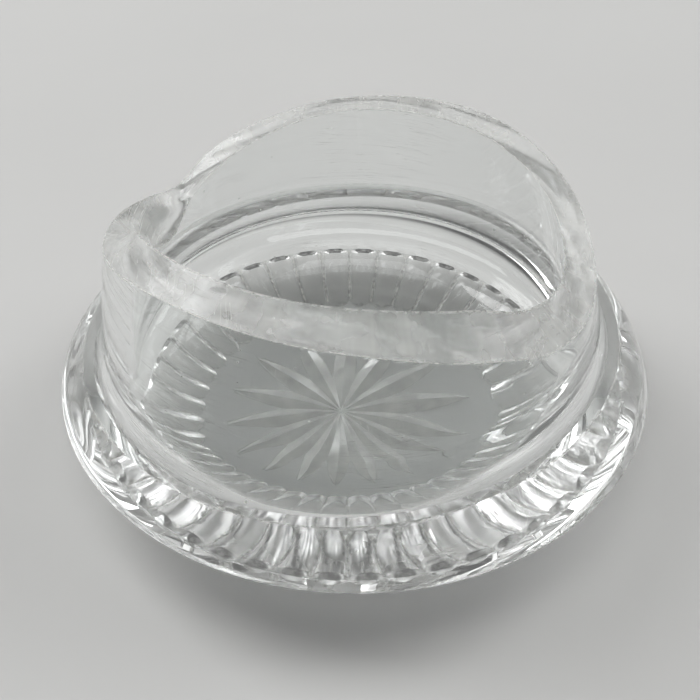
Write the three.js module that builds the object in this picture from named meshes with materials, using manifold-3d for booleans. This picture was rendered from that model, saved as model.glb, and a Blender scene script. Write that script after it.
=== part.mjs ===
// A small open salt of colourless cut glass, in one piece.
//
// It stands on a flat face cut with a star. Hollow flutes, side by side, run from that face up the
// underside of the bowl and stop short of a plain lip, the widest place. Above the lip a smooth belt
// slopes in to a crease, and a short wall that tapers inwards rises from a narrow ledge inside that. The
// wall ends in a broken edge: high at the front, low at the right, with a notch at the back left. The
// glass was cut by eye, so the foot, the crease and the bowl aren't quite true to the lip.
// Millimetres, +Z up, the origin on the table under the middle of the lip, and -Y at the front.
// Azimuths are in degrees from +X, counter-clockwise seen from above.

import * as THREE from 'three';
import { mergeVertices, toCreasedNormals } from 'three/addons/utils/BufferGeometryUtils.js';
import Module from 'manifold-3d';

const wasm = await Module();
wasm.setup();

const point = (x, y) => new THREE.Vector2(x, y);

// Outside
const beltRadius = 40;        // the lip
const beltHeight = 11;        // its height above the table
const beltInset = 4.2;        // from the crease out to the lip
const beltRise = 5.6;         // from the lip up to the crease
const beltSwell = 0.4;        // how far the belt swells out from a plain cone
const lipRound = 0.8;         // the lip's rounding into the underside
const footRadius = 22.3;      // the flat face
const undersideBulge = 0.15;  // how far the underside swells out from a plain cone
const ledgeWidth = 1.4;       // plain step between the crease and the wall's flare
const flareWidth = 1.92;      // from the ledge in to the wall
const flareHeight = 4.9;      // from the ledge up to the wall
const flareHollow = 0.2;      // how far the flare is hollowed from a plain cone
const rimHeight = 40.8;       // the highest place of the broken edge
const wallLean = 0.16;        // how far the wall draws in for each millimetre that it rises

// Inside
const wallThickness = 3.9;
const floorHeight = 5.5;      // the bottom of the bowl, above the table
const haunchHeight = 13.5;    // where the wall starts to turn into the floor
const haunchWidth = 7.9;      // from the wall in to the flat middle of the floor

// Cuts
const fluteCount = 44;
const fluteDepth = 0.65;
const lipBand = 8.2;          // plain band between the flutes' ends and the lip
const fluteRunOut = 0.9;      // length over which a flute comes up to the surface there
const fluteCrowding = 0.08;   // the hand-set spacing is this much closer at the front
const starRays = 16;
const starMargin = 4.6;       // from the circle on which the rays end to the foot's edge
const starCentre = point(-1.15, -0.7);  // where the rays meet, from the foot's middle
const starCrowding = 0.2;
const rayWidth = 3.4;
const rayDepth = 0.9;
const rayTurn = -2.5;         // azimuth of the first ray

// How far the glass strays from true
const bodyShift = point(-0.75, 0);
const footShift = point(-0.75, -0.7);
const creaseTilt = point(0.043, -0.024);  // rise of the crease for each millimetre along x and y
const tiltFade = 4;           // height above the wall's foot in which the tilt dies out

// Where the wall broke off: azimuth, and how far the edge lies below rimHeight outside and inside
const breakLine = [
  [-177, 9, 8],
  [-160, 5.8, 3.1],
  [-130, 2.1, 0.2],
  [-90, 3, 0.3],
  [-60, 7.2, 3.1],
  [-40, 11.2, 7.4],
  [-12, 12.9, 10.4],
  [18, 8.4, 8.1],
  [50, 5.7, 6.3],
  [92, 7.1, 7],
  [118, 9.9, 9.8],
  [131, 12.2, 12],
  [141, 15.3, 14.5],
  [152, 13.7, 18.4],
  [168, 10.9, 15.5],
];

// Fineness
const turnSteps = 88;
const arcSteps = 4;
const breakSteps = 72;
const creaseAngle = 24;

const degrees = Math.PI / 180;
const mix = (a, b, t) => a + (b - a) * t;
const ease = (t) => THREE.MathUtils.smoothstep(t, 0, 1);

/** A quadratic curve between two points, pulled towards a third, without its first point. */
function bend(from, pull, to, steps) {
  return new THREE.QuadraticBezierCurve(from, pull, to).getPoints(steps).slice(1);
}

const lip = point(beltRadius, beltHeight);
const crease = point(beltRadius - beltInset, beltHeight + beltRise);
const wallFoot = point(crease.x - ledgeWidth - flareWidth, crease.y + flareHeight);
const blankHeight = rimHeight + 2;

/** Outside radius of the wall at a height. */
const wallRadius = (z) => wallFoot.x - wallLean * (z - wallFoot.y);

/** The underside's curve, from the foot to the rounding of the lip. */
const lipUnder = point(beltRadius - lipRound, beltHeight - lipRound);
const underside = new THREE.QuadraticBezierCurve(
  point(footRadius, 0),
  point((footRadius + lipUnder.x) / 2 + undersideBulge, lipUnder.y / 2 - 2 * undersideBulge),
  lipUnder,
);

/** The vessel before any cut, as a profile from the axis under the foot round to the axis on the floor. */
function profile() {
  const beltPull = point(beltRise, beltInset).setLength(2 * beltSwell).add(lip.clone().lerp(crease, 0.5));
  const ledgeEnd = point(crease.x - ledgeWidth, crease.y);
  const flarePull = point(-flareHeight, -flareWidth).setLength(2 * flareHollow)
    .add(ledgeEnd.clone().lerp(wallFoot, 0.5));
  const outside = (z) => point(wallRadius(z), z);
  const inside = (z) => point(wallRadius(z) - wallThickness, z);
  const trueAbove = wallFoot.y + tiltFade;
  const haunch = inside(haunchHeight);
  const floorEdge = point(haunch.x - haunchWidth, floorHeight);
  return [
    point(0, 0),
    ...underside.getPoints(arcSteps),
    ...bend(lipUnder, point(beltRadius, beltHeight - lipRound / 2), lip, 2),
    ...bend(lip, beltPull, crease, arcSteps),
    ledgeEnd,
    ...bend(ledgeEnd, flarePull, wallFoot, 3),
    outside(trueAbove),
    outside(blankHeight),
    inside(blankHeight),
    inside(trueAbove),
    inside(wallFoot.y),
    haunch,
    ...bend(haunch, point(haunch.x, floorHeight), floorEdge, 2 * arcSteps),
    point(0, floorHeight),
  ];
}

/** A closed three.js geometry as a solid that can be joined and cut. */
function solid(geometry) {
  geometry.deleteAttribute('normal');
  geometry.deleteAttribute('uv');
  const welded = mergeVertices(geometry, 1e-5);
  const index = welded.index.array;
  const triangles = [];
  for (let i = 0; i < index.length; i += 3) {
    const [a, b, c] = [index[i], index[i + 1], index[i + 2]];
    if (a !== b && b !== c && c !== a) triangles.push(a, b, c);
  }
  return new wasm.Manifold(new wasm.Mesh({
    numProp: 3,
    vertProperties: new Float32Array(welded.attributes.position.array),
    triVerts: new Uint32Array(triangles),
  }));
}

/** Closed sections with the same number of points, skinned one to the next, with flat ends. */
function loft(sections) {
  const size = sections[0].length;
  const positions = sections.flat().flatMap((p) => [p.x, p.y, p.z]);
  const index = [];
  for (let s = 0; s + 1 < sections.length; s++) {
    for (let i = 0; i < size; i++) {
      const a = s * size + i;
      const b = s * size + ((i + 1) % size);
      index.push(a, b, a + size, b, b + size, a + size);
    }
  }
  const last = (sections.length - 1) * size;
  for (let i = 1; i + 1 < size; i++) index.push(0, i + 1, i, last, last + i, last + i + 1);
  const geometry = new THREE.BufferGeometry();
  geometry.setAttribute('position', new THREE.Float32BufferAttribute(positions, 3));
  geometry.setIndex(index);
  return solid(geometry);
}

/** A mitred section: a V of the given half width and depth, carried on to a height above the surface. */
function mitre(half, depth, lift) {
  const spread = half * (1 + lift / depth);
  return [[-spread, lift], [0, -depth], [spread, lift]];
}

/** A hollow section: a round trough of the given half width and depth, with upright sides above it. */
function hollow(half, depth, lift) {
  const sides = 6;
  const section = [[-half, lift]];
  for (let i = 0; i <= sides; i++) {
    const u = (2 * i) / sides - 1;
    section.push([u * half, -depth * (1 - u * u)]);
  }
  section.push([half, lift]);
  return section;
}

/**
 * What a cutting wheel takes away along a meridian through the origin given. Each station has a place
 * on the surface (r, z), the surface's outward direction there, and the cut's section.
 */
function wheelCut(azimuth, stations, origin) {
  const out = new THREE.Vector3(Math.cos(azimuth * degrees), Math.sin(azimuth * degrees), 0);
  const across = new THREE.Vector3(-out.y, out.x, 0);
  const sections = stations.map(({ place, outward, section }) => {
    const centre = out.clone().multiplyScalar(place.x).add(new THREE.Vector3(origin.x, origin.y, place.y));
    const normal = out.clone().multiplyScalar(outward.x).setZ(outward.y);
    return section.map(([side, up]) => centre.clone()
      .addScaledVector(across, side)
      .addScaledVector(normal, up));
  });
  const run = stations.at(-1).place.clone().sub(stations[0].place);
  return loft(run.cross(stations[0].outward) > 0 ? sections : sections.reverse());
}

/** Azimuth of one of the cuts in a hand-set row, which stand closer at the front, at -90 degrees. */
function setOut(even, crowding) {
  return even - (crowding / degrees) * Math.sin((even + 90) * degrees);
}

/** Hollow flutes side by side up the underside, from right through the foot's edge to the lip's band. */
function flutes() {
  const reach = beltRadius - lipBand;
  const lift = 1;
  const overlap = 1.04;
  const spacing = 1 + fluteCrowding;
  const shareAt = (r) => (r - footRadius) / (lipUnder.x - footRadius);
  const end = shareAt(reach);
  const shares = [-0.2, 0, end / 3, (2 * end) / 3, shareAt(reach - fluteRunOut), end + 0.01];
  const stations = shares.map((share, n) => {
    const slope = underside.getTangent(Math.max(share, 0));
    const place = share < 0
      ? point(footRadius, 0).addScaledVector(slope, share * (lipUnder.x - footRadius))
      : underside.getPoint(share);
    const half = (overlap * spacing * Math.PI * place.x) / fluteCount;
    const depth = n + 1 < shares.length ? fluteDepth : -0.1;
    return { place, outward: point(slope.y, -slope.x), section: hollow(half, depth, lift) };
  });
  return Array.from({ length: fluteCount }, (_, n) => (
    wheelCut(setOut((360 * (n + 0.5)) / fluteCount, fluteCrowding), stations, point(0, 0))
  ));
}

/** Leaf-shaped mitred rays of the star under the foot. They meet off its middle and end on a circle. */
function star() {
  const steps = 6;
  const lift = 1;
  const ends = footRadius - starMargin;
  const cuts = [];
  for (let n = 0; n < starRays; n++) {
    const azimuth = setOut(rayTurn + (360 * n) / starRays, starCrowding);
    const along = point(Math.cos(azimuth * degrees), Math.sin(azimuth * degrees)).dot(starCentre);
    const reach = Math.sqrt(ends ** 2 - starCentre.lengthSq() + along ** 2) - along;
    const stations = [];
    for (let s = 0; s <= steps; s++) {
      const fade = Math.max(Math.sin(Math.PI * (s / steps) ** 0.9), 0.04);
      stations.push({
        place: point(mix(0.5, reach, s / steps), 0),
        outward: point(0, -1),
        section: mitre((rayWidth / 2) * fade, rayDepth * fade, lift),
      });
    }
    cuts.push(wheelCut(azimuth, stations, starCentre));
  }
  return cuts;
}

/** Heights of the broken edge at an azimuth, outside and inside, on a smooth line through breakLine. */
function breakAt(azimuth) {
  const count = breakLine.length;
  const turn = ((azimuth - breakLine[0][0]) % 360 + 360) % 360 + breakLine[0][0];
  let k = count - 1;
  while (breakLine[k][0] > turn) k--;
  const place = (n) => breakLine[(n + count) % count][0] + 360 * Math.floor(n / count);
  const t = (turn - place(k)) / (place(k + 1) - place(k));
  return [1, 2].map((column) => {
    const height = (n) => rimHeight - breakLine[(n + count) % count][column];
    const slope = (n) => (height(n + 1) - height(n - 1)) / (place(n + 1) - place(n - 1));
    const width = place(k + 1) - place(k);
    return height(k) * (1 + 2 * t) * (1 - t) ** 2 + slope(k) * width * t * (1 - t) ** 2
      + height(k + 1) * t * t * (3 - 2 * t) - slope(k + 1) * width * t * t * (1 - t);
  });
}

/** Everything above the broken edge, which the wall lacks. */
function lostWall() {
  const margin = 0.4;
  const reach = 8;
  const top = blankHeight + reach;
  const sections = [];
  for (let n = 0; n <= breakSteps; n++) {
    const azimuth = (360 * n) / breakSteps;
    const [outside, inside] = breakAt(azimuth);
    const ro = wallRadius(outside);
    const ri = wallRadius(inside) - wallThickness;
    const fall = (outside - inside) / (ro - ri);
    const place = (r, z) => new THREE.Vector3(
      r * Math.cos(azimuth * degrees), r * Math.sin(azimuth * degrees), z,
    );
    sections.push([
      place(ri - reach, inside - margin * fall),
      place(ri - margin, inside - margin * fall),
      place(ro + margin, outside + margin * fall),
      place(ro + reach, outside + margin * fall),
      place(ro + reach, top),
      place(ri - reach, top),
    ]);
  }
  return ring(sections);
}

/** Sections skinned one to the next all the way round, the last being the first again. */
function ring(sections) {
  const size = sections[0].length;
  const turns = sections.length - 1;
  const positions = sections.slice(0, turns).flat().flatMap((p) => [p.x, p.y, p.z]);
  const index = [];
  for (let s = 0; s < turns; s++) {
    for (let i = 0; i < size; i++) {
      const a = s * size + i;
      const b = s * size + ((i + 1) % size);
      const c = ((s + 1) % turns) * size + i;
      const d = ((s + 1) % turns) * size + ((i + 1) % size);
      index.push(a, c, b, b, c, d);
    }
  }
  const geometry = new THREE.BufferGeometry();
  geometry.setAttribute('position', new THREE.Float32BufferAttribute(positions, 3));
  geometry.setIndex(index);
  return solid(geometry);
}

/**
 * Moves points as far as the glass strays from true. Inside the lip they shift, most at the foot, and
 * between the lip and the wall the crease tilts. The lip and the table's plane stay as they are.
 */
function stray(positions) {
  for (let i = 0; i < positions.length; i += 3) {
    const [x, y, z] = positions.subarray(i, i + 3);
    const within = ease((beltRadius - Math.hypot(x, y)) / beltInset);
    const low = ease(1 - z / beltHeight);
    const tilted = ease((z - beltHeight) / beltRise) * ease((wallFoot.y + tiltFade - z) / tiltFade);
    positions[i] += within * mix(bodyShift.x, footShift.x, low);
    positions[i + 1] += within * mix(bodyShift.y, footShift.y, low);
    positions[i + 2] += tilted * creaseTilt.dot(point(x, y));
  }
  return positions;
}

/** The glass: the turned blank, less the lost wall and every cut. */
function glassBody() {
  const blank = new THREE.LatheGeometry(profile(), turnSteps);
  blank.rotateX(Math.PI / 2);
  let body = solid(blank).subtract(lostWall());
  for (const cut of [...flutes(), ...star()]) body = body.subtract(cut);
  const mesh = body.getMesh();
  const geometry = new THREE.BufferGeometry();
  geometry.setAttribute('position', new THREE.BufferAttribute(stray(mesh.vertProperties), 3));
  geometry.setIndex(new THREE.Uint32BufferAttribute(mesh.triVerts, 1));
  return toCreasedNormals(geometry, creaseAngle * degrees);
}

const clearGlass = new THREE.MeshStandardMaterial({
  color: 0xe9eeec,
  roughness: 0.05,
  metalness: 0,
  transparent: true,
  opacity: 0.35,
});

const salt = new THREE.Group();
const glass = new THREE.Mesh(glassBody(), clearGlass);
glass.name = 'glass_body';
salt.add(glass);

export default salt;
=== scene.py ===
"""A small open salt of colourless cut glass, one piece, with a broken rim.

The glass is one closed surface. Columns run round it and rows run along its profile: out across the
star-cut foot, up the fluted underside, over the smooth belt and its narrow ledge, up the wall, across
the broken edge and down the inside to the middle of the floor. Lengths on the glass are written in
millimetres and made metres once. Those of the room are in metres.
"""

import bpy
import numpy as np
from mathutils import Matrix, Vector


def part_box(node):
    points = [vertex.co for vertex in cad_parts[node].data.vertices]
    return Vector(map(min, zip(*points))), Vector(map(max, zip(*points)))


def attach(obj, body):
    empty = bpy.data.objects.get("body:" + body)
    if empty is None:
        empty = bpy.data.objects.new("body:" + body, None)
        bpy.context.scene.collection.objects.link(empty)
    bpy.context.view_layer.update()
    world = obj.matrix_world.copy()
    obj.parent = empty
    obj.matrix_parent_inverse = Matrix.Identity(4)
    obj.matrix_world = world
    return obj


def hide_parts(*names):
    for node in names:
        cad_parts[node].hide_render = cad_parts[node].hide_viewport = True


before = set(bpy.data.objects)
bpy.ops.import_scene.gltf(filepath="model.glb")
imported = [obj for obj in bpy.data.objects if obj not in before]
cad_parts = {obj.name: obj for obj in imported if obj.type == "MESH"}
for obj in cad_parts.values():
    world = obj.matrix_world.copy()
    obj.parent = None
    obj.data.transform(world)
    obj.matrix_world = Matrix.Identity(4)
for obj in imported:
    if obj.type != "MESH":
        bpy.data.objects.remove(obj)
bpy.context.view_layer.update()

MM = 0.001

# Outside
LOW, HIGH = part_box("glass_body")
BELT_RADIUS = (HIGH.x - LOW.x) / 2 / MM  # the lip
BELT_HEIGHT = 11.0  # its height above the table
BELT_INSET = 4.2  # from the crease out to the lip
BELT_RISE = 5.6  # from the lip up to the crease
BELT_SWELL = 0.4  # how far the belt swells out from a plain cone
LIP_ROUND = 0.8  # the lip's rounding into the underside
FOOT_RADIUS = 22.3
UNDERSIDE_BULGE = 0.15  # how far the underside swells out from a plain cone
LEDGE_WIDTH = 1.4  # plain step between the crease and the wall's flare
FLARE_WIDTH = 1.92  # from the ledge in to the wall
FLARE_HEIGHT = 4.9  # from the ledge up to the wall
FLARE_HOLLOW = 0.2  # how far the flare is hollowed from a plain cone
RIM_HEIGHT = 40.8
WALL_LEAN = 0.16  # how far the wall draws in for each millimetre that it rises

# Inside
WALL_THICKNESS = 3.9
FLOOR_HEIGHT = 5.5
HAUNCH_HEIGHT = 13.5  # where the wall starts to turn into the floor
HAUNCH_WIDTH = 7.9  # from the wall in to the flat middle of the floor

# The flutes, set by hand a little closer at the front
FLUTE_COUNT = 44
FLUTE_DEPTH = 0.65
FLUTE_OVERLAP = 1.04  # a flute's width over the widest share of the round that one has
FLUTE_CROWDING = 0.08
FLUTE_RUN_OUT = 0.93  # length over which a flute comes up to the surface near the lip
LIP_BAND = 8.2  # plain band between the flutes' ends and the lip

# The star, its middle off the foot's, its rays shaped like leaves
STAR_RAYS = 16
STAR_MARGIN = 4.6  # from the circle on which the rays end to the foot's edge
STAR_CENTRE = (-1.15, -0.7)
STAR_CROWDING = 0.2
RAY_WIDTH = 3.4
RAY_DEPTH = 0.9
RAY_TURN = -2.5
RAY_START = 0.5  # from the star's middle
RAY_SHAPE = 0.9  # power of the way along a ray in the sine that shapes it
RAY_TIP = 0.04  # least width of a ray over its greatest
RAY_MOST = 0.94  # most of its share of the round that a ray takes up

# How far the glass strays from true
BODY_SHIFT = (-0.75, 0.0)
FOOT_SHIFT = (-0.75, -0.7)
CREASE_TILT = (0.043, -0.024)
TILT_FADE = 4.0  # height of wall over which the tilt dies away

# The broken edge: azimuth, and the drop below RIM_HEIGHT outside and inside
BREAK_LINE = (
    (-177, 9, 8),
    (-160, 5.8, 3.1),
    (-130, 2.1, 0.2),
    (-90, 3, 0.3),
    (-60, 7.2, 3.1),
    (-40, 11.2, 7.4),
    (-12, 12.9, 10.4),
    (18, 8.4, 8.1),
    (50, 5.7, 6.3),
    (92, 7.1, 7),
    (118, 9.9, 9.8),
    (131, 12.2, 12),
    (141, 15.3, 14.5),
    (152, 13.7, 18.4),
    (168, 10.9, 15.5),
)
BREAK_CLEARANCE = 0.3  # the wall's level rows stay this far below the break

# Ripples on the break
HOLLOW_DEPTH = 0.1  # of the break's face between its ripples
HOLLOW_SHAPE = 0.8  # power of the sine that takes it out at both sides
RIPPLE_DEPTH = 0.13  # how much deeper the ripples go
RIPPLE_COUNT = 9  # round the rim
RIPPLE_TURN = 3.1  # how far their swing moves them round
RIPPLE_SWINGS = ((2.2, 2, 1.1), (1.3, 5, 0.4))  # size, waves round the rim, and phase
RIPPLE_BOW = 2.6  # swing from side to side of the break

# Fineness: the columns are a whole number for every flute and ray. The rest are rows of a stretch, or
# the shares of its way at which its rows lie.
COLUMNS = 528
RAY_CUT_COLUMNS = 8  # of a ray's columns on each side, those in the cut
STAR_ROWS = 40
FOOT_SHARES = (0.3, 0.6, 0.9, 1.0)
FLUTE_ROWS, RUN_OUT_ROWS, BAND_ROWS = 16, 5, 12
LIP_STEPS, BELT_STEPS, FLARE_STEPS, HAUNCH_STEPS = 6, 16, 8, 20
LEDGE_SHARES = (0.2, 1.0)
TILT_ROWS, WALL_ROWS, BREAK_STEPS, INSIDE_ROWS = 5, 9, 16, 9
FLOOR_SHARES = (0.8, 0.55, 0.3, 0.06)

# Kinds of strip between two rows
POLISHED, FLUTE, RAY, BROKEN = range(4)
LEAST_CUT = 0.004  # a face with no corner deeper than this isn't cut
SHARP_ANGLE = 22  # degrees between two faces from which their edge is sharp

# Wear from 0 to 1 on the edges, and the width of the worn line beside an edge of the rim
FOOT_WEAR = 0.7
RUN_OUT_WEAR = 0.6
LIP_WEAR = 0.5
CREASE_WEAR = 0.8
EDGE_WEAR = 0.25

# Finish of each mark in the glass: how rough and how milky it is at least, and what its pattern adds
FLUTE_ROUGH, FLUTE_MILK = (0.04, 0.08), (0.03, 0.16)
RAY_ROUGH, RAY_MILK = (0.1, 0.12), (0.22, 0.42)
BREAK_ROUGH, BREAK_MILK = (0.12, 0.16), (0.06, 0.36)
CHIP_ROUGH, CHIP_MILK = 0.2, 0.5
SCRATCH_ROUGH, SCRATCH_MILK = 0.25, 0.35
SIDE_MILK = 0.2
DUST_MILK = 0.8
STREAK_RELIEF, BAND_RELIEF, CHIP_RELIEF = 0.12, 0.2, 0.05
RAY_RELIEF, FLUTE_RELIEF = 0.05, 0.015
GLASS_INDEX = 1.52
GLASS_TINT = (0.97, 0.985, 0.98, 1)
# The satin's tone goes at random from grey to cream; the cream is a painted warm highlight, not a tint
# of the glass.
GROUND_GREY, GROUND_PAINTED_CREAM_HIGHLIGHT = (0.84, 0.85, 0.83, 1), (0.94, 0.93, 0.88, 1)

# Patterns in the glass: how fine they are along x, y and z, per metre, and the shares of their mixtures
WALL_SCRATCHES = (45.0, 45.0, 1900.0)
FLAT_SCRATCHES = (1100.0, 60.0, 60.0)
FLAT_SHARE = 0.5  # strength of the scratches on flat faces over those on the wall
BAND_ROUND = (1.6, 1.6, 1.0)  # for the way round the rim, as a direction
BAND_ACROSS = 1.2  # for the way across the break, from 0 to 1
SHELL_BANDS, SHELL_STREAKS = 0.4, 0.6

# The room, in metres: the floor fades far out into the pale colour that the room has low down, and the
# room goes over to its dim colour between two heights of the line of sight
HORIZON = (0.62, 0.62, 0.61, 1)
ROOM_ABOVE = (0.12, 0.12, 0.12, 1)
ROOM_FADE = (0.05, 0.5)
FLOOR_GREY, FLOOR_PALE = (0.60, 0.60, 0.59, 1), (0.64, 0.64, 0.63, 1)
FLOOR_FADE = (0.4, 1.1)
FLOOR_HALF = 1.2
FLOOR_DROP = 0.0002  # below the glass's foot

# Soft square lamps: name, place and side in metres, and watts
LAMPS = (
    ("key", (-0.85, 0.5, 1.0), 0.8, 10.0),
    ("side", (0.9, 0.4, 0.95), 0.8, 6.5),
    ("top", (-0.1, 0.0, 1.6), 1.0, 6.5),
)

# The photograph's view, fitted to the lip and the crease in it: tilt in degrees, the lens as pixels of
# the 700 pixel frame, and where the camera stands, in millimetres
VIEW_TILT = 41.98
VIEW_FOCAL_PIXELS = 1100.0
VIEW_PLACE = (-0.64, -113.41, 113.72)
FRAME_PIXELS = 700.0

# Corners of the profile, as (r, z)
LIP = np.array((BELT_RADIUS, BELT_HEIGHT))
CREASE = LIP + (-BELT_INSET, BELT_RISE)
LEDGE_END = CREASE - (LEDGE_WIDTH, 0)
WALL_FOOT = LEDGE_END + (-FLARE_WIDTH, FLARE_HEIGHT)
LIP_UNDER = LIP - LIP_ROUND
FOOT_EDGE = np.array((FOOT_RADIUS, 0.0))
UNDERSIDE_PULL = (FOOT_EDGE + LIP_UNDER) / 2 + (UNDERSIDE_BULGE, -2 * UNDERSIDE_BULGE)


def ease(t):
    """Smooth step: 3 t squared less 2 t cubed, held at 0 and 1 outside."""
    t = np.clip(t, 0, 1)
    return t * t * (3 - 2 * t)


def wall_radius(z):
    """Outside radius of the wall: a straight line that leans in as it rises."""
    return WALL_FOOT[0] - WALL_LEAN * (z - WALL_FOOT[1])


def on_curve(start, pull, end, t):
    """Where a quadratic curve is at t: start (1 - t) squared + pull 2 t (1 - t) + end t squared."""
    return start * (1 - t) ** 2 + pull * 2 * t * (1 - t) + end * t**2


def bend(start, pull, end, steps):
    """A quadratic curve from start to end as rows of (r, z), without its first."""
    return on_curve(start, pull, end, np.linspace(0, 1, steps + 1)[1:, None])


def swollen(start, end, across, by):
    """The pull that swells a straight line by a height: its middle, moved twice as far along across."""
    across = np.array(across)
    return (start + end) / 2 + across / np.linalg.norm(across) * 2 * by


def break_heights(azimuth):
    """Heights of the broken edge outside and inside: a smooth closed line through BREAK_LINE.

    Between two of its places the height is the cubic that has there the slope from the place before
    to the place after."""
    line = np.array(BREAK_LINE, float)
    count = len(line)
    start = line[0, 0]
    turn = (azimuth - start) % 360 + start
    n = np.arange(-1, count + 2)
    place = line[n % count, 0] + 360 * (n // count)
    k = np.searchsorted(line[:, 0], turn, side="right")
    width = place[k + 1] - place[k]
    t = (turn - place[k]) / width
    heights = []
    for column in (1, 2):
        height = RIM_HEIGHT - line[n % count, column]
        slope = np.zeros(len(n))
        slope[1:-1] = (height[2:] - height[:-2]) / (place[2:] - place[:-2])
        heights.append(
            height[k] * (1 + 2 * t) * (1 - t) ** 2
            + slope[k] * width * t * (1 - t) ** 2
            + height[k + 1] * t * t * (3 - 2 * t)
            - slope[k + 1] * width * t * t * (1 - t)
        )
    return heights


def set_out(even, crowding):
    """Hand-set spacing: an even azimuth, less the crowding times the sine of its angle from the front.

    The front is at -90 degrees."""
    return even - np.degrees(crowding) * np.sin(np.radians(even + 90))


def polar(r, azimuth):
    """x and y of a radius and an azimuth in degrees."""
    a = np.radians(azimuth)
    return np.stack((r * np.cos(a), r * np.sin(a)))


def stray(points):
    """Moves points as far as the glass strays from true.

    Inside the lip they shift by BODY_SHIFT, which goes over to FOOT_SHIFT at the foot. Between the lip
    and the wall the height rises by CREASE_TILT times x and y. Each comes in by ease()."""
    x, y, z = points[..., 0], points[..., 1], points[..., 2]
    within = ease((BELT_RADIUS - np.hypot(x, y)) / BELT_INSET)
    low = ease(1 - z / BELT_HEIGHT)
    tilted = ease((z - BELT_HEIGHT) / BELT_RISE) * ease((WALL_FOOT[1] + TILT_FADE - z) / TILT_FADE)
    moved = points.copy()
    for axis in (0, 1):
        shift = BODY_SHIFT[axis] + (FOOT_SHIFT[axis] - BODY_SHIFT[axis]) * low
        moved[..., axis] += within * shift
    moved[..., 2] += tilted * (CREASE_TILT[0] * x + CREASE_TILT[1] * y)
    return moved


def flute_columns():
    """Azimuth of each column, its depth across its flute, and 1 for a ridge between two flutes, else 0.

    The depth is 1 less the square of the angle from the flute's middle over its half width."""
    j = np.arange(COLUMNS)
    per = COLUMNS // FLUTE_COUNT
    azimuth = set_out(360 * j / COLUMNS, FLUTE_CROWDING)
    middle = set_out(360 * (np.floor(j / per) + 0.5) / FLUTE_COUNT, FLUTE_CROWDING)
    half = FLUTE_OVERLAP * (1 + FLUTE_CROWDING) * np.pi / FLUTE_COUNT
    gap = np.abs(azimuth - middle)
    gap = np.minimum(gap, 360 - gap)
    return azimuth, 1 - (np.radians(gap) / half) ** 2, (j % per == 0) * 1.0


class Skin:
    """Rows of the surface, each with the kind of the strip that starts there and the depth of its cut.

    The marks are the wear of an edge, the way across the break from 0 outside to 1 inside, and how far
    up a flute's side a point lies."""

    def __init__(self, azimuth):
        self.azimuth = azimuth
        self.places, self.kinds, self.depths = [], [], []
        self.marks = {"edge": [], "across": [], "flank": []}

    def add(self, xy, z, kind=POLISHED, depth=0.0, **marks):
        whole = np.ones(COLUMNS)
        self.places.append(np.stack((xy[0], xy[1], z * whole), axis=-1))
        self.kinds.append(kind)
        self.depths.append(depth * whole)
        for name, rows in self.marks.items():
            rows.append(marks.get(name, 0.0) * whole)

    def ring(self, r, z, *cut, **marks):
        self.add(polar(r, self.azimuth), z, *cut, **marks)

    def rings(self, line, wear=0.0):
        """A ring at each (r, z) of a line. The last is an edge with this wear."""
        for r, z in line[:-1]:
            self.ring(r, z)
        self.ring(*line[-1], edge=wear)


def add_star(skin):
    """The star in the foot: the depth of its leaf-shaped mitred rays, in rows from its middle outwards.

    The rays start RAY_START from STAR_CENTRE and end on a circle about the foot's middle. Along a ray,
    its half width and depth follow sin(pi * along ** RAY_SHAPE). Across it, the depth falls evenly from
    the middle to the edge. A ray's columns are shared out evenly in the cut, and evenly beside it."""
    per = COLUMNS // STAR_RAYS
    within = RAY_CUT_COLUMNS / (per / 2)
    j = np.arange(COLUMNS)
    offset = ((j + per / 2) % per - per / 2) / (per / 2)
    size = np.abs(offset)
    cell = 360 / STAR_RAYS
    ray = RAY_TURN + cell * np.floor((j + per / 2) / per)
    scale = 1 - STAR_CROWDING * np.cos(np.radians(ray + 90))
    ends = FOOT_RADIUS - STAR_MARGIN
    centre = np.array(STAR_CENTRE)[:, None]
    for share in np.linspace(0, 1, STAR_ROWS):
        leaf = max(np.sin(np.pi * share**RAY_SHAPE), RAY_TIP)
        half = RAY_WIDTH / 2 * leaf
        middle_r = RAY_START + (ends - RAY_START) * share
        inside = np.minimum(half / (middle_r * np.radians(cell / 2) * scale), RAY_MOST)
        beside = inside + (size - within) / (1 - within) * (1 - inside)
        fold = np.where(size <= within, size / within * inside, beside)
        azimuth = set_out(ray + np.sign(offset) * fold * cell / 2, STAR_CROWDING)
        way = polar(1, azimuth)
        dot = (way * centre).sum(axis=0)
        reach = np.sqrt(ends**2 - (centre**2).sum() + dot**2) - dot
        r = RAY_START + (reach - RAY_START) * share
        across = np.abs(r * np.sin(np.radians(azimuth - set_out(ray, STAR_CROWDING))))
        depth = RAY_DEPTH * leaf * np.clip(1 - across / half, 0, 1)
        xy = centre + way * r
        skin.add(xy, depth, RAY if share < 1 else POLISHED, depth)
    return xy


def add_foot_edge(skin, trough, last):
    """The plain foot, from the star's last row out to its edge, which the flutes' hollows scallop.

    A hollow reaches in by its depth over the sine of the underside's slope. The strip that starts at
    the edge is all in the flutes, so its depth counts as 1."""
    run = UNDERSIDE_PULL - FOOT_EDGE
    slope = np.arctan2(run[1], run[0])
    edge = polar(FOOT_RADIUS - FLUTE_DEPTH * trough / np.sin(slope), skin.azimuth)
    for share in FOOT_SHARES:
        at_edge = float(share == 1)
        skin.add(last + (edge - last) * share, 0.0, FLUTE if at_edge else POLISHED, at_edge,
                 edge=FOOT_WEAR * at_edge)


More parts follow.
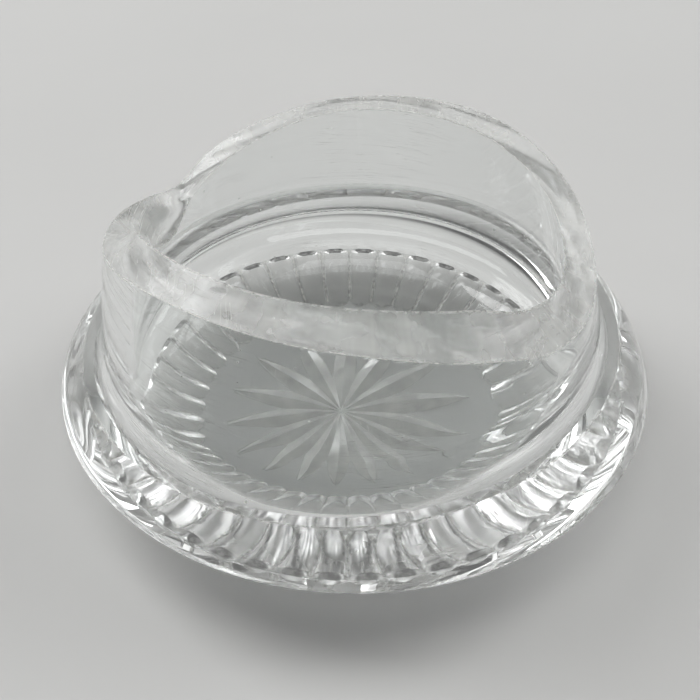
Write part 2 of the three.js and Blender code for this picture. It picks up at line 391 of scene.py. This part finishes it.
def add_underside(skin, trough, ridge):
    """The underside: a quadratic curve from the foot's edge to the lip, with the flutes hollowed in it.

    A hollow is as deep, square to the curve, as FLUTE_DEPTH times its depth across. It comes up to the
    surface over FLUTE_RUN_OUT and stops at LIP_BAND from the lip."""
    start, pull, end = FOOT_EDGE, UNDERSIDE_PULL, LIP_UNDER
    width = end[0] - start[0]
    stop = (BELT_RADIUS - LIP_BAND - FOOT_RADIUS) / width
    fade = FLUTE_RUN_OUT / width
    for t in np.concatenate((
        np.linspace(0, stop - fade, FLUTE_ROWS),
        np.linspace(stop - fade, stop, RUN_OUT_ROWS)[1:],
        np.linspace(stop, 1, BAND_ROWS)[1:],
    )):
        place = on_curve(start, pull, end, t)
        run = (pull - start) * (1 - t) + (end - pull) * t
        run = run / np.linalg.norm(run)
        depth = FLUTE_DEPTH * trough * np.clip((stop - t) / fade, 0, 1)
        cut = t < stop
        skin.ring(place[0] - run[1] * depth, place[1] + run[0] * depth,
                  FLUTE if cut else POLISHED, depth,
                  edge=np.maximum(ridge, RUN_OUT_WEAR * (t > stop - fade)) * cut,
                  flank=(1 - trough) * cut)


def add_belt(skin):
    """The lip's rounding, the belt and the flare, each a quadratic curve, and the straight ledge."""
    skin.rings(bend(LIP_UNDER, LIP - (0, LIP_ROUND / 2), LIP, LIP_STEPS), LIP_WEAR)
    belt_pull = swollen(LIP, CREASE, (BELT_RISE, BELT_INSET), BELT_SWELL)
    skin.rings(bend(LIP, belt_pull, CREASE, BELT_STEPS), CREASE_WEAR)
    skin.rings([CREASE + (LEDGE_END - CREASE) * share for share in LEDGE_SHARES])
    flare_pull = swollen(LEDGE_END, WALL_FOOT, (-FLARE_HEIGHT, -FLARE_WIDTH), FLARE_HOLLOW)
    skin.rings(bend(LEDGE_END, flare_pull, WALL_FOOT, FLARE_STEPS))


def add_wall(skin, outside):
    """The outside of the wall: level rows through the tilt, then rows shared out evenly up to the break.

    One more row lies EDGE_WEAR below the break."""
    true_above = WALL_FOOT[1] + TILT_FADE
    highest = outside - BREAK_CLEARANCE
    base = np.minimum(true_above, highest)
    heights = [np.minimum(z, highest) for z in np.linspace(WALL_FOOT[1], true_above, TILT_ROWS)[1:]]
    heights += [base + (outside - base) * share for share in np.linspace(0, 1, WALL_ROWS)[1:-1]]
    heights.append(outside - EDGE_WEAR)
    for z in heights:
        skin.ring(wall_radius(z), z)
    skin.ring(wall_radius(outside), outside, BROKEN, edge=1.0)


def add_break(skin, outside, inside):
    """The broken edge: straight across from its outside line to its inside one, less a rippled hollow.

    With a for the azimuth, a ripple is half of 1 + sin(RIPPLE_COUNT a + RIPPLE_TURN swing). The swing is
    size sin(waves a + phase) for each of RIPPLE_SWINGS, and RIPPLE_BOW times the way across, so that the
    ripples bow like the marks in a shell. The hollow goes with sin(pi across) ** HOLLOW_SHAPE."""
    a = np.radians(skin.azimuth)
    waves = sum(size * np.sin(count * a + phase) for size, count, phase in RIPPLE_SWINGS)
    start, end = wall_radius(outside), wall_radius(inside) - WALL_THICKNESS
    for n in range(1, BREAK_STEPS + 1):
        share = n / BREAK_STEPS
        ripple = 0.5 + 0.5 * np.sin(RIPPLE_COUNT * a + RIPPLE_TURN * (waves + RIPPLE_BOW * share))
        hollow = np.sin(np.pi * share) ** HOLLOW_SHAPE * (HOLLOW_DEPTH + RIPPLE_DEPTH * ripple)
        z = outside + (inside - outside) * share - hollow
        skin.ring(start + (end - start) * share, z, BROKEN if share < 1 else POLISHED,
                  edge=float(share == 1), across=share)


def add_bowl(skin, inside):
    """The inside: straight down the wall, round the haunch on a quadratic curve, and the flat floor."""
    haunch = np.array((wall_radius(HAUNCH_HEIGHT) - WALL_THICKNESS, HAUNCH_HEIGHT))
    corner = np.array((haunch[0], FLOOR_HEIGHT))
    floor_edge = corner - (HAUNCH_WIDTH, 0)
    for share in np.linspace(0, 1, INSIDE_ROWS):
        z = np.minimum(inside + (HAUNCH_HEIGHT - inside) * share, inside - EDGE_WEAR)
        skin.ring(wall_radius(z) - WALL_THICKNESS, z)
    skin.rings(bend(haunch, corner, floor_edge, HAUNCH_STEPS))
    skin.rings([floor_edge * (share, 1) for share in FLOOR_SHARES])


def glass_skin():
    """All rows of the glass, from the middle of its foot to the middle of its floor."""
    azimuth, trough, ridge = flute_columns()
    outside, inside = break_heights(azimuth)
    skin = Skin(azimuth)
    add_foot_edge(skin, trough, add_star(skin))
    add_underside(skin, trough, ridge)
    add_belt(skin)
    add_wall(skin, outside)
    add_break(skin, outside, inside)
    add_bowl(skin, inside)
    return skin


def closed_mesh(name, skin):
    """Skins the rows round and along, and closes them with a fan at each end.

    Each face says whether it lies in a flute, in a ray or on the break, and each point has the marks.
    A cut face is one in a cut strip with a corner in a cut.
    The fans meet at the star's middle and the floor's middle."""
    points = stray(np.array(skin.places)) * MM
    middles = stray(np.array(((*STAR_CENTRE, 0.0), (0.0, 0.0, FLOOR_HEIGHT)))) * MM
    count, columns = points.shape[:2]
    j = np.arange(columns)
    nxt = (j + 1) % columns
    row = columns * np.arange(count - 1)[:, None]
    quads = np.stack((row + j, row + nxt, row + columns + nxt, row + columns + j), -1)
    cut = np.array(skin.depths).ravel()[quads].max(axis=-1) > LEAST_CUT
    strip = np.repeat(np.array(skin.kinds)[:-1, None], columns, axis=1)
    under, over = count * columns, count * columns + 1
    last = (count - 1) * columns
    first_fan = np.stack((np.full(columns, under), nxt, j), -1)
    last_fan = np.stack((np.full(columns, over), last + j, last + nxt), -1)
    verts = np.vstack((points.reshape(-1, 3), middles))
    corners = np.concatenate((quads.ravel(), first_fan.ravel(), last_fan.ravel()))
    totals = np.repeat((4, 3), (strip.size, 2 * columns))

    mesh = bpy.data.meshes.new(name)
    mesh.vertices.add(len(verts))
    mesh.vertices.foreach_set("co", verts.astype(np.float32).ravel())
    mesh.loops.add(len(corners))
    mesh.loops.foreach_set("vertex_index", corners.astype(np.int32))
    mesh.polygons.add(len(totals))
    mesh.polygons.foreach_set("loop_start", (np.cumsum(totals) - totals).astype(np.int32))
    mesh.polygons.foreach_set("loop_total", totals.astype(np.int32))
    mesh.update(calc_edges=True)

    def mark(key, domain, values, closing):
        values = np.concatenate((np.ravel(values), np.zeros(closing))).astype(np.float32)
        mesh.attributes.new(key, "FLOAT", domain).data.foreach_set("value", values)

    for key, faces in (("flute", (strip == FLUTE) & cut), ("ray", (strip == RAY) & cut),
                       ("broken", strip == BROKEN)):
        mark(key, "FACE", faces, 2 * columns)
    for key, rows in skin.marks.items():
        mark(key, "POINT", rows, len(middles))
    return mesh


class Maker:
    """Adds nodes to one material or world.

    node() takes a type, its settings and its sockets' values or links. A socket is named by its label,
    with _ for a space, or by its place, as i0. It returns the output at the place that out says."""

    def __init__(self, material):
        material.use_nodes = True
        self.tree = material.node_tree
        self.tree.nodes.clear()

    def node(self, kind, settings=None, out=0, **sockets):
        made = self.tree.nodes.new(kind)
        for key, value in (settings or {}).items():
            setattr(made, key, value)
        for key, value in sockets.items():
            socket = made.inputs[int(key[1:]) if key[1:].isdigit() else key.replace("_", " ")]
            if isinstance(value, Socket):
                self.tree.links.new(value.socket, socket)
            else:
                socket.default_value = value
        return Socket(self, made.outputs[out]) if made.outputs else None

    def coordinates(self, out=3):
        """Texture Coordinate: place on the object at 3, its normal at 1, and in a world the way at 0."""
        return self.node("ShaderNodeTexCoord", out=out)

    def noise(self, place, scale=1.0, detail=2.0):
        return self.node("ShaderNodeTexNoise", Vector=place, Scale=scale, Detail=detail)

    def step(self, value, low, high):
        """0 up to low, 1 from high, smooth between."""
        return self.node("ShaderNodeMapRange", {"interpolation_type": "SMOOTHSTEP"},
                         Value=value, From_Min=low, From_Max=high)

    def hairline(self, noise, width):
        """1 where a noise passes its middle value, 0 where it is more than a width from it."""
        return 1 - self.step(abs(noise - 0.5), 0.0, width)

    def vector(self, operation, *values, out=0):
        named = {f"i{n}": v for n, v in enumerate(values)}
        return self.node("ShaderNodeVectorMath", {"operation": operation}, out=out, **named)

    def height(self, vector):
        """z of a vector."""
        return self.node("ShaderNodeSeparateXYZ", out=2, Vector=vector)

    def mix(self, share, first, second):
        """A colour between two."""
        return self.node("ShaderNodeMix", {"data_type": "RGBA"}, out=2, i0=share, i6=first, i7=second)

    def finish(self, share, first, second):
        """Ends the material with two shaders, mixed by a share of the second."""
        mixed = self.node("ShaderNodeMixShader", i0=share, i1=first, i2=second)
        self.node("ShaderNodeOutputMaterial", i0=mixed)


class Socket:
    """A node's output that adds Math nodes when it is used in a sum."""

    def __init__(self, maker, socket):
        self.maker = maker
        self.socket = socket

    def math(self, operation, *values, **settings):
        named = {f"i{n}": v for n, v in enumerate(values)}
        return self.maker.node("ShaderNodeMath", {"operation": operation, **settings}, **named)

    def __add__(self, other):
        return self.math("ADD", self, other)

    def __sub__(self, other):
        return self.math("SUBTRACT", self, other)

    def __rsub__(self, other):
        return self.math("SUBTRACT", other, self)

    def __mul__(self, other):
        return self.math("MULTIPLY", self, other)

    def __abs__(self):
        return self.math("ABSOLUTE", self)

    def held(self):
        """The value kept between 0 and 1."""
        return self.math("ADD", self, 0.0, use_clamp=True)

    __radd__ = __add__
    __rmul__ = __mul__


def scratches_on(m, place):
    """Scratches in patches: thin lines of a noise drawn out round the wall, or along the flat faces."""
    patches = m.step(m.noise(place, scale=70.0), low=0.45, high=0.68)
    flat = m.step(abs(m.height(m.coordinates(1))), low=0.5, high=0.9)
    round_wall = m.noise(m.vector("MULTIPLY", place, WALL_SCRATCHES), detail=3.0)
    along_flat = m.noise(m.vector("MULTIPLY", place, FLAT_SCRATCHES))
    on_wall = m.hairline(round_wall, width=0.013) * (1 - flat)
    on_flat = m.hairline(along_flat, width=0.006) * flat * FLAT_SHARE
    return (on_wall + on_flat) * patches


def dust_on(m, place):
    """Dust: the middles of a few of the cells of a Voronoi pattern, chosen by their random colour."""
    distance, colour = (
        m.node("ShaderNodeTexVoronoi", {"feature": "F1"}, out=out, Vector=place, Scale=330.0)
        for out in (0, 1)
    )
    chosen = m.step(m.node("ShaderNodeSeparateColor", Color=colour), low=0.8, high=0.82)
    return (1 - m.step(distance, low=0.035, high=0.075)) * chosen


def break_patterns(m, place, across):
    """Streaks, a noise that changes only round the rim, and bands, one that changes mostly across it."""
    way = m.vector("NORMALIZE", m.vector("MULTIPLY", place, (1.0, 1.0, 0.0)))
    lift = m.node("ShaderNodeCombineXYZ", Z=across * BAND_ACROSS)
    bands = m.noise(m.vector("ADD", m.vector("MULTIPLY", way, BAND_ROUND), lift), scale=2.0)
    return m.noise(way, scale=13.0), bands


def patterned(mask, finish, pattern):
    """Where the mask is, the least value of a finish and more of it where its pattern is strong."""
    least, more = finish
    return mask * (least + more * pattern)


def clear_glass():
    """Polished glass, satin in the cuts and milky on the break, scratched and a little dusty.

    It goes by its milkiness from clear glass to a satin surface that still lets some light through.
    Roughness and milkiness are sums of what each mark brings, held between 0 and 1."""
    material = bpy.data.materials.new("clear_glass")
    m = Maker(material)
    place = m.coordinates()
    flute, ray, broken, edge, across, flank = (
        m.node("ShaderNodeAttribute", {"attribute_name": name}, out=2)
        for name in ("flute", "ray", "broken", "edge", "across", "flank")
    )
    scratches = scratches_on(m, place)
    dust = dust_on(m, place)
    streaks, bands = break_patterns(m, place, across)
    shell = m.step(bands * SHELL_BANDS + streaks * SHELL_STREAKS, low=0.28, high=0.74)
    cloud = m.noise(place, scale=260.0, detail=3.0)
    fine = m.noise(place, scale=2400.0, detail=3.0)
    chips = edge * m.step(m.noise(place, scale=900.0, detail=3.0), low=0.38, high=0.62)
    sides = m.step(flank, low=0.35, high=0.9)

    rough = (patterned(flute, FLUTE_ROUGH, cloud) + patterned(ray, RAY_ROUGH, cloud)
             + patterned(broken, BREAK_ROUGH, shell)
             + chips * CHIP_ROUGH + scratches * SCRATCH_ROUGH).held()
    milk = (patterned(flute, FLUTE_MILK, cloud) + sides * SIDE_MILK + patterned(ray, RAY_MILK, cloud)
            + patterned(broken, BREAK_MILK, shell)
            + chips * CHIP_MILK + scratches * SCRATCH_MILK + dust * DUST_MILK).held()
    relief = (broken * (streaks * STREAK_RELIEF + bands * BAND_RELIEF) + ray * (fine * RAY_RELIEF)
              + flute * (fine * FLUTE_RELIEF) - chips * CHIP_RELIEF)
    normal = m.node("ShaderNodeBump", Strength=0.5, Distance=0.0005, Height=relief)

    clear = m.node("ShaderNodeBsdfPrincipled", Base_Color=GLASS_TINT, Roughness=rough,
                   IOR=GLASS_INDEX, Transmission_Weight=1.0, Normal=normal)
    # The cloud noise mixes the satin's colour from grey to cream: the cream patches are a painted warm
    # highlight.
    satin = m.node("ShaderNodeBsdfPrincipled", Base_Color=m.mix(cloud, GROUND_GREY, GROUND_PAINTED_CREAM_HIGHLIGHT),
                   Roughness=0.6, IOR=GLASS_INDEX, Transmission_Weight=0.25, Normal=normal)
    m.finish(milk, clear, satin)
    return material


def floor_paint():
    """Pale matt board with a faint mottle. Far out, past the lamps, it fades into the room's horizon."""
    material = bpy.data.materials.new("pale_floor")
    m = Maker(material)
    place = m.coordinates()
    colour = m.mix(m.noise(place, scale=18.0, detail=4.0), FLOOR_GREY, FLOOR_PALE)
    board = m.node("ShaderNodeBsdfPrincipled", Base_Color=colour, Roughness=0.75)
    glow = m.node("ShaderNodeEmission", Color=HORIZON, Strength=1.0)
    m.finish(m.step(m.vector("LENGTH", place, out=1), *FLOOR_FADE), board, glow)
    return material


def link(name, data):
    """A new object in the scene."""
    made = bpy.data.objects.new(name, data)
    bpy.context.scene.collection.objects.link(made)
    return made


def make_glass():
    """The glass, smooth but for its sharp edges, in place of the CAD node."""
    mesh = closed_mesh("glass_body_visual", glass_skin())
    mesh.polygons.foreach_set("use_smooth", np.ones(len(mesh.polygons), bool))
    mesh.set_sharp_from_angle(angle=np.radians(SHARP_ANGLE))
    mesh.materials.append(clear_glass())
    body = link("glass_body_visual", mesh)
    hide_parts("glass_body")
    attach(body, "root")


def make_stage():
    """A wide pale floor: one square face."""
    corners = [(FLOOR_HALF * x, FLOOR_HALF * y, 0) for x, y in ((-1, -1), (1, -1), (1, 1), (-1, 1))]
    mesh = bpy.data.meshes.new("floor")
    mesh.from_pydata(corners, [], [(0, 1, 2, 3)])
    mesh.materials.append(floor_paint())
    floor = link("floor", mesh)
    floor.location.z = -FLOOR_DROP


def make_lights():
    """Lamps that face the glass, in a room that is pale low down and dim above."""
    world = bpy.data.worlds.new("studio")
    bpy.context.scene.world = world
    m = Maker(world)
    colour = m.mix(m.step(m.height(m.coordinates(0)), *ROOM_FADE), HORIZON, ROOM_ABOVE)
    m.node("ShaderNodeOutputWorld", i0=m.node("ShaderNodeBackground", Color=colour))
    for name, place, side, watts in LAMPS:
        data = bpy.data.lights.new(name, "AREA")
        data.size = side
        data.energy = watts
        lamp = link(name, data)
        lamp.location = place
        lamp.rotation_mode = "QUATERNION"
        lamp.rotation_quaternion = Vector(place).to_track_quat("Z", "Y")


def make_camera():
    """The camera, level from side to side and tilted down."""
    data = bpy.data.cameras.new("camera")
    data.lens = data.sensor_width * VIEW_FOCAL_PIXELS / FRAME_PIXELS
    data.clip_start, data.clip_end = 0.005, 20
    camera = link("camera", data)
    camera.matrix_world = (Matrix.Translation(Vector(VIEW_PLACE) * MM)
                           @ Matrix.Rotation(np.pi / 2 - np.radians(VIEW_TILT), 4, "X"))
    bpy.context.scene.camera = camera


def set_bounces():
    """Enough bounces for light to cross the cuts and the thick foot of the glass and come out again."""
    cycles = bpy.context.scene.cycles
    cycles.max_bounces = 32
    cycles.glossy_bounces = 24
    cycles.transmission_bounces = 24


make_camera()
make_glass()
make_stage()
make_lights()
set_bounces()
bpy.context.scene.view_settings.view_transform = "Standard"
